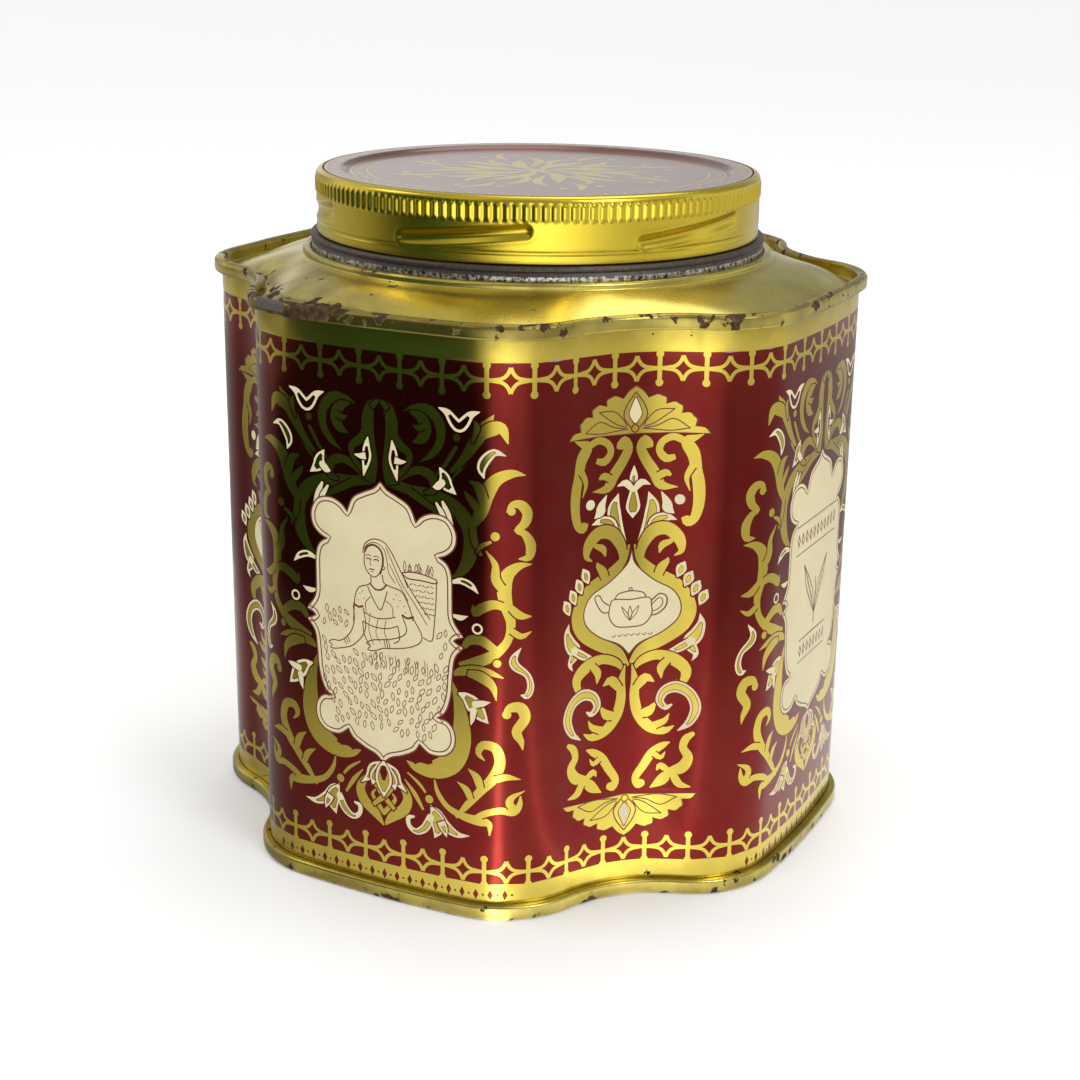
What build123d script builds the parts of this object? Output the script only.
from build123d import *
from math import atan2, cos, degrees, radians, sin, tan
import os

os.makedirs("parts", exist_ok=True)

# A tea tin with four broad panels, four scooped corners and a round screw lid.
# Millimetres, +Z up, origin at the middle of the resting plane, front panel facing -Y.

# Sheet and seams
SHEET = 0.3                # tinplate thickness
LAYER_GAP = 0.2            # space between the folded layers of a double seam
SEAM_HEIGHT = 3.0          # height of the double seams at the top and bottom rims
COUNTERSINK = 2.8          # depth of the end plates below their rims, at mid sheet
PLATE_HOOK_DEPTH = 1.3     # rim to the tip of an end plate's hook
WRAP_HOOK_DEPTH = 2.25     # rim to the tip of the wrap's hook
COMPOUND_DEPTH = 2.1       # rim to the lower edge of the sealing compound
PLATE_WALL_FOLD = 0.4      # fold radii of the end plates, at mid sheet
PLATE_CROWN_FOLD = 0.8
PLATE_HOOK_FOLD = 0.45
WRAP_FOLD = 0.3            # fold radius of the wrap's flange, at mid sheet
COMPOUND_BEND = 0.55       # bend of the compound round the wrap's flange

# Body plan, on the outer skin of the wrap
BODY_HEIGHT = 115.0        # resting plane to the top of the upper rim
BODY_WIDTH = 126.0         # across opposite panels
PANEL_RADIUS = 212.5       # slight bow of each panel
PANEL_HALF_ANGLE = 5.0     # half of the arc that a panel covers
BEND_RADIUS = 17.8         # convex bend between a panel and a scooped corner
BEND_ANGLE = 65.0          # how far each bend turns the wall

# Side seam: the lock seam that closes the wrap, on the back panel beside a bend
LOCK_FROM_MIDDLE = 13.0    # from the middle of the back panel to the middle of the seam
LOCK_HALF_WIDTH = 2.9      # middle of the seam to its folds, at mid sheet
LOCK_PITCH = 0.4           # spacing of the four folded layers
LOCK_CLEAR_OF_RIM = 6.0    # the wall is plain this close to either rim
LOCK_WINDOW_HALF = 4.5     # half of the gap in the wall that the hooks fill
LOCK_OVERLAP = 0.5         # how far the hooks run into the wall on each side
LOCK_HOOK_SHORT = 1.2      # end of each hook to the fold it lies in
LOCK_STEP_FROM = 1.0       # where the inner hook steps down, measured from the fold beside it
LOCK_STEP_TO = 0.3
LOCK_STEP_FOLD = 0.3
FOLD_SLACK = 0.01          # keeps a fold just short of closing up

# Base plate
BASE_STEP_IN = 8.4         # inset of the stiffening step from the body's skin
BASE_STEP_RISE = 0.8       # rise of the middle of the base
BASE_STEP_SLOPE = 0.4      # half the width of the step, and the radius of its two bends

# Shoulder and neck
SLOPE_FOOT_IN = 1.6        # inset of the foot of the shoulder's slope from the body's skin
SLOPE_HEAD_RADIUS = 47.6   # where the slope meets the ring bead round the neck
SLOPE_HEAD_Z = 117.4
BEAD_RING_RADIUS = 47.3    # outer leg of the ring bead, at mid sheet
BEAD_RING_TOP = 118.7      # crown of the ring bead, at mid sheet
LIP_RADIUS = 46.0          # inner leg of the ring bead, at mid sheet
LIP_BOTTOM = 116.75
BEAD_FOLD = 0.6            # bends of the ring bead, at mid sheet
NECK_RADIUS = 42.55        # neck wall, at mid sheet
NECK_TOP = 131.65          # crown of the neck's inward curl, at mid sheet
CURL_WIDTH = 1.4
NECK_FOOT_FOLD = 0.4       # bend from the neck wall to the stop bead, at mid sheet
STOP_BEAD_RADIUS = 45.75   # the bead that the lid closes down to, at mid sheet
STOP_BEAD_TOP = 121.3
STOP_BEAD_HEIGHT = 0.7
STOP_BEAD_OUTER_FOLD = 0.34
STOP_BEAD_INNER_FOLD = 0.2
BAND_RADIUS = 45.55        # bare band below the stop bead, at mid sheet
BAND_TAPER_WIDTH = 0.3     # taper that joins the stop bead to the band
BAND_TAPER_HEIGHT = 1.0
BAND_UPPER_FOLD = 0.16
BAND_LOWER_FOLD = 0.4
CLINCH_BOTTOM = 116.4      # fold that grips the shoulder's lip, at mid sheet
CLINCH_HEIGHT = 1.2
CLINCH_FOLD = 0.35
LIP_TO_CLINCH = 0.45       # shoulder's lip to the outer leg of the clinch, both at mid sheet
NECK_COMPOUND_HEIGHT = 1.5
NECK_COMPOUND_RISE = 0.2   # bottom of the lip to the bottom of its compound

# Screw thread: six parallel right-hand strands, each a short rib
THREAD_STARTS = 6
THREAD_LEAD = 29.0         # rise per full turn
RIB_ARC = 31.0             # length of each rib round the lid, in degrees
RIB_MIDDLE_ANGLE = -81.0   # angle of the first rib's middle, from +X
RIB_MIDDLE_Z = 126.5
RIB_SECTION_RADIUS = 1.5   # pressed into the lid from its outer skin
LUG_ABOVE_RIB = 1.9        # height of a neck lug's middle above the lid rib under it
LUG_SECTION_RADIUS = 1.25  # pressed out of the neck from its mid sheet

# Lid
LID_RADIUS = 44.6          # outer skin of the skirt
LID_TOP = 134.0
LID_BOTTOM = 121.6
LID_EDGE_RADIUS = 1.2
LID_RECESS_RADIUS = 38.6   # edge of the sunk top panel
LID_RECESS_DEPTH = 0.8
LID_RECESS_BEND = 0.5
HEM_HEIGHT = 1.8
HEM_PITCH = 0.4            # skirt to the folded-in layer of the hem, both at mid sheet
KNURL_COUNT = 160
KNURL_TOP = LID_TOP - 1.3
KNURL_HEIGHT = 3.4
KNURL_RADIUS = 0.55        # section of each upright knurl
KNURL_PROUD = 0.25         # how far the knurls stand out of the skirt

# Liner
LINER_RADIUS = 42.9
BOARD_THICKNESS = 1.0
FACING_THICKNESS = 0.1

HALF_SHEET = SHEET / 2
PANEL_MIDDLE_Z = LID_TOP - SHEET - LID_RECESS_DEPTH


def unit(angle):
    """Horizontal unit vector at an angle from +X, in degrees."""
    return Vector(cos(radians(angle)), sin(radians(angle)), 0)


def plan_arcs():
    """The sixteen tangent arcs of the plan, anticlockwise from the front panel.

    Each is (centre, radius, side, start, sweep). Side is 1 where the arc's centre is inside the tin and -1
    for the scoops, whose centre is outside. Start is the outward direction at the arc's low-angle end.
    """
    bend_start = -90 + PANEL_HALF_ANGLE
    bend_end = bend_start + BEND_ANGLE
    panel_centre = Vector(0, PANEL_RADIUS - BODY_WIDTH / 2, 0)
    bend_centre = panel_centre + unit(bend_start) * (PANEL_RADIUS - BEND_RADIUS)
    bend_finish = bend_centre + unit(bend_end) * BEND_RADIUS
    # The scoop is tangent to both of its bends, so its centre is on the corner's diagonal.
    outward = unit(bend_end)
    scoop_radius = -(bend_finish.X + bend_finish.Y) / (outward.X + outward.Y)
    scoop_centre = bend_finish + outward * scoop_radius
    other_bend_centre = Vector(-bend_centre.Y, -bend_centre.X, 0)
    scoop_sweep = 2 * (bend_end + 45)
    quarter = [
        (panel_centre, PANEL_RADIUS, 1, -90 - PANEL_HALF_ANGLE, 2 * PANEL_HALF_ANGLE),
        (bend_centre, BEND_RADIUS, 1, bend_start, BEND_ANGLE),
        (scoop_centre, scoop_radius, -1, bend_end - scoop_sweep, scoop_sweep),
        (other_bend_centre, BEND_RADIUS, 1, -90 - bend_end, BEND_ANGLE),
    ]
    arcs = []
    for corner in range(4):
        turn = 90 * corner
        for centre, radius, side, start, sweep in quarter:
            arcs.append((centre.rotate(Axis.Z, turn), radius, side, start + turn, sweep))
    return arcs


def plan_face(offset, height=0.0):
    """Flat face inside the plan, moved out from the body's skin by offset."""
    edges = []
    for centre, radius, side, start, sweep in plan_arcs():
        reach = radius + side * offset
        polar = start if side > 0 else start + 180
        arc = CenterArc((centre.X, centre.Y), reach, polar, sweep)
        edges.append(arc.edge())
    return Pos(0, 0, height) * Face(Wire(edges))


def ring_round_plan(section):
    """Solid ring whose (offset, height) section runs right round the plan."""
    pieces = []
    for centre, radius, side, start, sweep in plan_arcs():
        outward = unit(start)
        origin = centre + outward * (side * radius)
        plane = Plane(origin=origin, x_dir=outward, z_dir=outward.cross(Vector(0, 0, 1)))
        axis = Axis(centre, (0, 0, 1))
        pieces.append(revolve(plane * section, axis=axis, revolution_arc=sweep).solid())
    return pieces[0].fuse(*pieces[1:]).clean()


def bent_line(points, radii):
    """Open line through points, with a tangent arc of the given radius at each inner point."""
    edges = []
    corners = [Vector(*point) for point in points]
    here = corners[0]
    for before, corner, after, radius in zip(corners, corners[1:], corners[2:], radii):
        back = (before - corner).normalized()
        ahead = (after - corner).normalized()
        half_angle = radians(back.get_angle(ahead)) / 2
        tangent_length = radius / tan(half_angle)
        arc_start = corner + back * tangent_length
        arc_end = corner + ahead * tangent_length
        to_middle = (back + ahead).normalized()
        arc_middle = corner + to_middle * (radius / sin(half_angle) - radius)
        edges.append(Edge.make_line(here, arc_start))
        edges.append(Edge.make_three_point_arc(arc_start, arc_middle, arc_end))
        here = arc_end
    edges.append(Edge.make_line(here, corners[-1]))
    return Wire(edges)


def sheet_section(points, radii, thickness=SHEET):
    """Face of even thickness along a bent line."""
    return trace(bent_line(points, radii), line_width=thickness).face()


def turned_ring(section):
    """Revolve an (r, z) section about the tin's axis."""
    return revolve(Plane.XZ * section, axis=Axis.Z).solid()


def end_seam_points(rim, up):
    """The folded edge of an end plate, from its countersunk floor to the tip of its hook.

    Up is 1 for the top rim and -1 for the bottom one.
    """
    step = SHEET + LAYER_GAP
    wall = -SHEET - HALF_SHEET
    hook = -HALF_SHEET + step
    outside = hook + 2 * step
    crown = rim - up * HALF_SHEET
    foot = rim - up * (SEAM_HEIGHT - HALF_SHEET)
    hook_tip = rim - up * PLATE_HOOK_DEPTH
    floor = rim - up * COUNTERSINK
    points = [(wall, floor), (wall, crown), (outside, crown), (outside, foot), (hook, foot), (hook, hook_tip)]
    radii = [PLATE_WALL_FOLD, PLATE_CROWN_FOLD, PLATE_CROWN_FOLD, PLATE_HOOK_FOLD, PLATE_HOOK_FOLD]
    return points, radii


def body_seam_points(rim, up):
    """The flange and hook of the wrap inside a double seam, from the top of the wall to the tip."""
    step = SHEET + LAYER_GAP
    crown = rim - up * (HALF_SHEET + step)
    hook = -HALF_SHEET + 2 * step
    tip = rim - up * WRAP_HOOK_DEPTH
    return [(-HALF_SHEET, crown), (hook, crown), (hook, tip)]


def lock_seam():
    """The interlocked hooks of the side seam, as a strip standing in the wall's window."""
    w = LOCK_HALF_WIDTH
    end = LOCK_WINDOW_HALF + LOCK_OVERLAP
    outer, second, third, inner = [HALF_SHEET + layer * LOCK_PITCH for layer in range(4)]
    fold = LOCK_PITCH - FOLD_SLACK
    over = [(-end, outer), (w, outer), (w, third), (LOCK_HOOK_SHORT - w, third)]
    under = [
        (end, outer),
        (w + LOCK_STEP_FROM, outer),
        (w + LOCK_STEP_TO, inner),
        (-w, inner),
        (-w, second),
        (w - LOCK_HOOK_SHORT, second),
    ]
    hooks = [
        sheet_section(over, [fold, fold]),
        sheet_section(under, [LOCK_STEP_FOLD, LOCK_STEP_FOLD, fold, fold]),
    ]
    return [extrude(hook, amount=BODY_HEIGHT - 2 * LOCK_CLEAR_OF_RIM) for hook in hooks]


def body_wrap():
    """One printed sheet rolled to the scooped plan, flanged at both rims and closed by a lock seam."""
    points = body_seam_points(0, -1)[::-1] + body_seam_points(BODY_HEIGHT, 1)
    wrap = ring_round_plan(sheet_section(points, [WRAP_FOLD] * 4))
    # The seam's own frame: x along the back panel, y into the tin, z up.
    panel_centre = Vector(0, BODY_WIDTH / 2 - PANEL_RADIUS, 0)
    direction = 90 + degrees(LOCK_FROM_MIDDLE / PANEL_RADIUS)
    skin = panel_centre + unit(direction) * PANEL_RADIUS
    seam_frame = Plane(origin=skin, x_dir=unit(direction + 90), z_dir=(0, 0, 1))
    seam_height = BODY_HEIGHT - 2 * LOCK_CLEAR_OF_RIM
    at_seam = seam_frame * Pos(0, 0, LOCK_CLEAR_OF_RIM)
    window = Pos(0, 0, seam_height / 2) * Box(2 * LOCK_WINDOW_HALF, 10 * SHEET, seam_height)
    wrap = wrap.cut((at_seam * window).solid())
    for hook in lock_seam():
        wrap = wrap.fuse((at_seam * hook).solid())
    return wrap.clean()


def base_plate():
    """Countersunk bottom with a raised middle, seamed on round the lower rim."""
    seam_points, seam_radii = end_seam_points(0, -1)
    floor = COUNTERSINK
    raised = floor + BASE_STEP_RISE
    step = BASE_STEP_SLOPE
    # The rim's section runs a little way into the raised middle, so that the two overlap.
    inner = [(-BASE_STEP_IN - 5 * step, raised), (-BASE_STEP_IN - step, raised), (-BASE_STEP_IN + step, floor)]
    rim = ring_round_plan(sheet_section(inner + seam_points, [step, step] + seam_radii))
    middle = extrude(plan_face(-BASE_STEP_IN - 2.5 * step, raised - HALF_SHEET), amount=SHEET).solid()
    return rim.fuse(middle).clean()


def shoulder_plate():
    """Sloping top plate, seamed on round the upper rim, with a ring bead and lip round its opening."""
    seam_points, seam_radii = end_seam_points(BODY_HEIGHT, 1)
    floor = BODY_HEIGHT - COUNTERSINK
    gutter = [(-SLOPE_FOOT_IN - 3 * SHEET, floor)]
    rim = ring_round_plan(sheet_section(gutter + seam_points, seam_radii))
    foot = plan_face(-SLOPE_FOOT_IN, floor + HALF_SHEET)
    arcs = []
    for centre, radius, side, start, sweep in plan_arcs():
        # Each stretch of the plan is matched by a stretch of the round head of the slope.
        low = centre + unit(start) * (side * radius)
        high = centre + unit(start + sweep) * (side * radius)
        ends = sorted([degrees(atan2(p.Y, p.X)) % 360 for p in (low, high)])
        if ends[1] - ends[0] > 180:
            ends = [ends[1], ends[0] + 360]
        arcs.append(CenterArc((0, 0), SLOPE_HEAD_RADIUS, ends[0], ends[1] - ends[0]).edge())
    head = Pos(0, 0, SLOPE_HEAD_Z) * Face(Wire(arcs))
    hill = loft([foot, head], ruled=True).solid()
    slope = hill.cut(hill.moved(Pos(0, 0, -SHEET)))
    opening = Pos(0, 0, SLOPE_HEAD_Z) * Cylinder(BEAD_RING_RADIUS - HALF_SHEET, 2 * COUNTERSINK)
    slope = slope.cut(opening.solid())
    crown = [(BEAD_RING_RADIUS, SLOPE_HEAD_Z - SHEET), (BEAD_RING_RADIUS, BEAD_RING_TOP)]
    lip = [(LIP_RADIUS, BEAD_RING_TOP), (LIP_RADIUS, LIP_BOTTOM)]
    bead = turned_ring(sheet_section(crown + lip, [BEAD_FOLD, BEAD_FOLD]))
    return rim.fuse(slope, bead).clean()


def thread_strand(radius, middle_angle, middle_z, section_radius):
    """A short helical rod with round ends, one strand of the thread."""
    rise = THREAD_LEAD * RIB_ARC / 360
    path = Helix(pitch=THREAD_LEAD, height=rise, radius=radius).edge()
    start = path.position_at(0)
    section = Plane(origin=start, z_dir=path.tangent_at(0)) * Circle(section_radius)
    rod = sweep(section, path=path, is_frenet=True).solid()
    for end in (path.position_at(0), path.position_at(1)):
        rod = rod.fuse((Pos(end) * Sphere(section_radius)).solid())
    turn = Rot(0, 0, middle_angle - RIB_ARC / 2)
    return Pos(0, 0, middle_z - rise / 2) * turn * rod


def strand_angles():
    """Middle angle of each strand."""
    return [RIB_MIDDLE_ANGLE + 360 / THREAD_STARTS * strand for strand in range(THREAD_STARTS)]


def neck_ring():
    """Bare neck with an inward curl, six outward lugs, a stop bead and a clinch round the shoulder's lip."""
    curl_fold = CURL_WIDTH / 2 - FOLD_SLACK
    stop_bead_bottom = STOP_BEAD_TOP - STOP_BEAD_HEIGHT
    clinch_radius = LIP_RADIUS + LIP_TO_CLINCH
    points = [
        (NECK_RADIUS - CURL_WIDTH, NECK_TOP - CURL_WIDTH),
        (NECK_RADIUS - CURL_WIDTH, NECK_TOP),
        (NECK_RADIUS, NECK_TOP),
        (NECK_RADIUS, STOP_BEAD_TOP),
        (STOP_BEAD_RADIUS, STOP_BEAD_TOP),
        (STOP_BEAD_RADIUS, stop_bead_bottom),
        (BAND_RADIUS - BAND_TAPER_WIDTH, stop_bead_bottom),
        (BAND_RADIUS, stop_bead_bottom - BAND_TAPER_HEIGHT),
        (BAND_RADIUS, CLINCH_BOTTOM),
        (clinch_radius, CLINCH_BOTTOM),
        (clinch_radius, CLINCH_BOTTOM + CLINCH_HEIGHT),
    ]
    radii = [
        curl_fold,
        curl_fold,
        NECK_FOOT_FOLD,
        STOP_BEAD_OUTER_FOLD,
        STOP_BEAD_INNER_FOLD,
        BAND_UPPER_FOLD,
        BAND_LOWER_FOLD,
        CLINCH_FOLD,
        CLINCH_FOLD,
    ]
    neck = turned_ring(sheet_section(points, radii))
    lug_z = RIB_MIDDLE_Z + LUG_ABOVE_RIB
    # Everything inside the neck's wall, less a fifth of the sheet so that the lugs overlap it.
    inside = (Pos(0, 0, lug_z) * Cylinder(NECK_RADIUS - SHEET / 5, NECK_TOP - STOP_BEAD_TOP)).solid()
    for angle in strand_angles():
        lug = thread_strand(NECK_RADIUS, angle, lug_z, LUG_SECTION_RADIUS)
        hollow = thread_strand(NECK_RADIUS, angle, lug_z, LUG_SECTION_RADIUS - SHEET)
        neck = neck.fuse(lug.cut(inside)).cut(hollow)
    return neck.solid()


def screw_lid():
    """Lid with a sunk top, a knurled grip, six pressed-in ribs and a hemmed edge."""
    skirt = LID_RADIUS - HALF_SHEET
    points = [
        (0, PANEL_MIDDLE_Z + HALF_SHEET),
        (LID_RECESS_RADIUS, PANEL_MIDDLE_Z + HALF_SHEET),
        (LID_RECESS_RADIUS + LID_RECESS_DEPTH, LID_TOP - HALF_SHEET),
        (skirt, LID_TOP - HALF_SHEET),
        (skirt, LID_BOTTOM + HALF_SHEET),
        (skirt - HEM_PITCH, LID_BOTTOM + HALF_SHEET),
        (skirt - HEM_PITCH, LID_BOTTOM + HEM_HEIGHT),
    ]
    hem_fold = HEM_PITCH / 2 - FOLD_SLACK
    radii = [LID_RECESS_BEND, LID_RECESS_BEND, LID_EDGE_RADIUS - HALF_SHEET, hem_fold, hem_fold]
    lid = turned_ring(sheet_section(points, radii))
    # The knurls: round-backed uprights that stand out of the skirt.
    knurl_centre = LID_RADIUS + KNURL_PROUD - KNURL_RADIUS
    grip = Circle(LID_RADIUS - SHEET / 3) + PolarLocations(knurl_centre, KNURL_COUNT) * Circle(KNURL_RADIUS)
    grip -= Circle(LID_RADIUS - 2 * SHEET / 3)
    band = Pos(0, 0, KNURL_TOP - KNURL_HEIGHT) * extrude(grip, amount=KNURL_HEIGHT)
    lid = lid.fuse(*band.solids())
    skirt_height = LID_TOP - LID_BOTTOM
    outside = Cylinder(LID_RADIUS + 2 * RIB_SECTION_RADIUS, skirt_height) - Cylinder(skirt, skirt_height)
    outside = (Pos(0, 0, RIB_MIDDLE_Z) * outside).solid()
    for angle in strand_angles():
        rib = thread_strand(LID_RADIUS, angle, RIB_MIDDLE_Z, RIB_SECTION_RADIUS)
        groove = thread_strand(LID_RADIUS, angle, RIB_MIDDLE_Z, RIB_SECTION_RADIUS - SHEET)
        lid = lid.fuse(rib.cut(outside)).cut(groove)
    return lid.solid()


def disc(radius, top, thickness):
    """Flat round sheet lying under a given height."""
    return (Pos(0, 0, top - thickness / 2) * Cylinder(radius, thickness)).solid()


def liner_board():
    """Pulpboard wad that cushions the lid's top panel on the neck."""
    return disc(LINER_RADIUS, PANEL_MIDDLE_Z, BOARD_THICKNESS)


def liner_facing():
    """Waxed paper stuck to the underside of the pulpboard."""
    return disc(LINER_RADIUS, PANEL_MIDDLE_Z - BOARD_THICKNESS, FACING_THICKNESS)


def rim_compound(rim, up):
    """Sealing compound between the wrap's flange and the end plate that folds over it."""
    step = SHEET + LAYER_GAP
    middle = rim - up * (SHEET + LAYER_GAP / 2)
    outside = 2 * step + LAYER_GAP / 2
    tip = rim - up * COMPOUND_DEPTH
    points = [(HALF_SHEET + LAYER_GAP, middle), (outside, middle), (outside, tip)]
    return ring_round_plan(sheet_section(points, [COMPOUND_BEND], LAYER_GAP))


def neck_compound():
    """Sealing compound between the neck's band and the shoulder's lip."""
    gap_inner = BAND_RADIUS + HALF_SHEET
    gap_outer = LIP_RADIUS - HALF_SHEET
    middle_z = LIP_BOTTOM + NECK_COMPOUND_RISE + NECK_COMPOUND_HEIGHT / 2
    ring = Cylinder(gap_outer, NECK_COMPOUND_HEIGHT) - Cylinder(gap_inner, NECK_COMPOUND_HEIGHT)
    return (Pos(0, 0, middle_z) * ring).solid()


PARTS = {
    "body_wrap": body_wrap,
    "base_plate": base_plate,
    "shoulder_plate": shoulder_plate,
    "neck_ring": neck_ring,
    "screw_lid": screw_lid,
    "liner_board": liner_board,
    "liner_facing": liner_facing,
    "top_seam_compound": lambda: rim_compound(BODY_HEIGHT, 1),
    "base_seam_compound": lambda: rim_compound(0, -1),
    "neck_seam_compound": neck_compound,
}

for name, make in PARTS.items():
    solid = make()
    solid.label = name
    export_step(solid, f"parts/{name}.step")
    print(f"{name}: {round(solid.volume, 1)} mm3, valid {solid.is_valid}")
